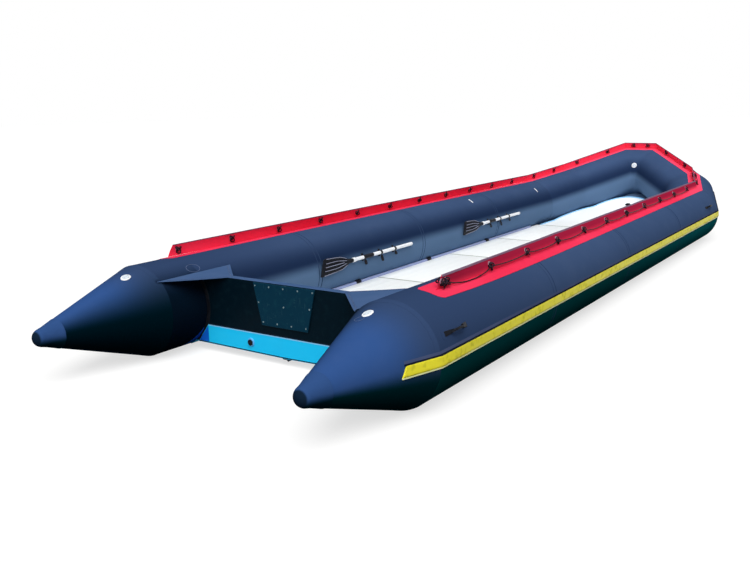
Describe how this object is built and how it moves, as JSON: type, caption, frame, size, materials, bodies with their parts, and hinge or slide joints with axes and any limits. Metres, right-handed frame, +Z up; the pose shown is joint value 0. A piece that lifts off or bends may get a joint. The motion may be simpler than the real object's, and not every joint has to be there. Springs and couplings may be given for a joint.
{
  "type": "inflatable boat",
  "caption": "Long open inflatable boat with a blunt raised bow, stern cones, transom, aluminium floor, laced side skirts and stowed paddles.",
  "frame": {"origin": "middle of the footprint's box, on the surface the boat stands on", "axes": "+X to the bow, +Y to port, +Z up"},
  "size_m": [8.7384, 2.538, 1.023],
  "materials": {
    "tube_fabric": "satin",
    "skirt_fabric": "matte",
    "strake_rubber": "satin",
    "rope": "matte",
    "transom_board": "satin",
    "motor_pad": "satin",
    "trim_fabric": "matte",
    "bottom_fabric": "satin",
    "floor_board": "satin",
    "floor_rail": "satin",
    "valve_plastic": "gloss",
    "cap_plastic": "satin",
    "paddle_shaft": "satin",
    "black_plastic": "satin",
    "webbing": "matte",
    "ring_steel": "polished",
    "black_rubber": "satin"
  },
  "bodies": {
    "hull": {"port_aft_chamber": "tube_fabric", "port_forward_chamber": "tube_fabric", "starboard_aft_chamber": "tube_fabric", "starboard_forward_chamber": "tube_fabric", "bow_chamber": "tube_fabric", "port_stern_cone": "tube_fabric", "starboard_stern_cone": "tube_fabric", "port_cone_tip": "black_rubber", "starboard_cone_tip": "black_rubber", "port_rub_strake": "strake_rubber", "starboard_rub_strake": "strake_rubber", "bow_rub_strake": "strake_rubber", "port_lacing_skirt": "skirt_fabric", "starboard_lacing_skirt": "skirt_fabric", "bow_lacing_skirt": "skirt_fabric", "port_lifeline": "rope", "starboard_lifeline": "rope", "bow_lifeline": "rope", "transom_board": "transom_board", "transom_top_strip": "trim_fabric", "outer_motor_pad": "motor_pad", "inner_motor_pad": "motor_pad", "port_transom_knee": "trim_fabric", "starboard_transom_knee": "trim_fabric", "hull_tail_strip": "bottom_fabric", "drain_flange": "valve_plastic", "hull_bottom": "bottom_fabric", "keel_tube": "tube_fabric", "keel_guard": "black_rubber", "floorboard_1": "floor_board", "floorboard_2": "floor_board", "floorboard_3": "floor_board", "floorboard_4": "floor_board", "floorboard_5": "floor_board", "bow_board": "floor_board", "port_floor_rail": "floor_rail", "starboard_floor_rail": "floor_rail", "port_stern_valve_body": "valve_plastic", "starboard_stern_valve_body": "valve_plastic", "bow_valve_body": "valve_plastic", "port_aft_handle": "black_rubber", "starboard_aft_handle": "black_rubber", "port_bow_handle": "black_rubber", "starboard_bow_handle": "black_rubber", "lashing_ring_pad": "black_rubber", "aft_paddle_strap_1": "webbing", "aft_paddle_strap_2": "webbing", "aft_paddle_strap_3": "webbing", "forward_paddle_strap_1": "webbing", "forward_paddle_strap_2": "webbing", "forward_paddle_strap_3": "webbing"},
    "aft_paddle": {"aft_paddle_blade": "black_plastic", "aft_paddle_shaft": "paddle_shaft"},
    "forward_paddle": {"forward_paddle_blade": "black_plastic", "forward_paddle_shaft": "paddle_shaft"},
    "port_stern_cap": {"port_stern_valve_cap": "cap_plastic"},
    "starboard_stern_cap": {"starboard_stern_valve_cap": "cap_plastic"},
    "bow_cap": {"bow_valve_cap": "cap_plastic"},
    "drain_stopper": {"drain_plug": "black_plastic"},
    "ring": {"lashing_ring": "ring_steel"}
  },
  "joints": [
    {"name": "aft_paddle_slide", "type": "slide", "parent": "hull", "child": "aft_paddle", "axis": [-1, 0, 0], "range_m": [0, 0.85]},
    {"name": "forward_paddle_slide", "type": "slide", "parent": "hull", "child": "forward_paddle", "axis": [-1, 0, 0], "range_m": [0, 0.85]},
    {"name": "drain_plug_slide", "type": "slide", "parent": "hull", "child": "drain_stopper", "axis": [-1, 0, 0], "range_m": [0, 0.035]},
    {"name": "lashing_ring_hinge", "type": "hinge", "parent": "hull", "child": "ring", "pos_m": [3.59201, 0, 0.27047], "axis": [0, 1, 0], "range_deg": [0, 140]},
    {"name": "port_stern_cap_turn", "type": "hinge", "parent": "hull", "child": "port_stern_cap", "pos_m": [-3.72176, 0.90942, 0.54925], "axis": [-0.3182, -0.185, 0.9298], "range_deg": [0, 90]},
    {"name": "starboard_stern_cap_turn", "type": "hinge", "parent": "hull", "child": "starboard_stern_cap", "pos_m": [-3.72176, -0.90942, 0.54925], "axis": [-0.3182, 0.185, 0.9298], "range_deg": [0, 90]},
    {"name": "bow_cap_turn", "type": "hinge", "parent": "hull", "child": "bow_cap", "pos_m": [3.78147, 0, 0.74741], "axis": [-0.9436, 0, 0.331], "range_deg": [0, 90]}
  ]
}
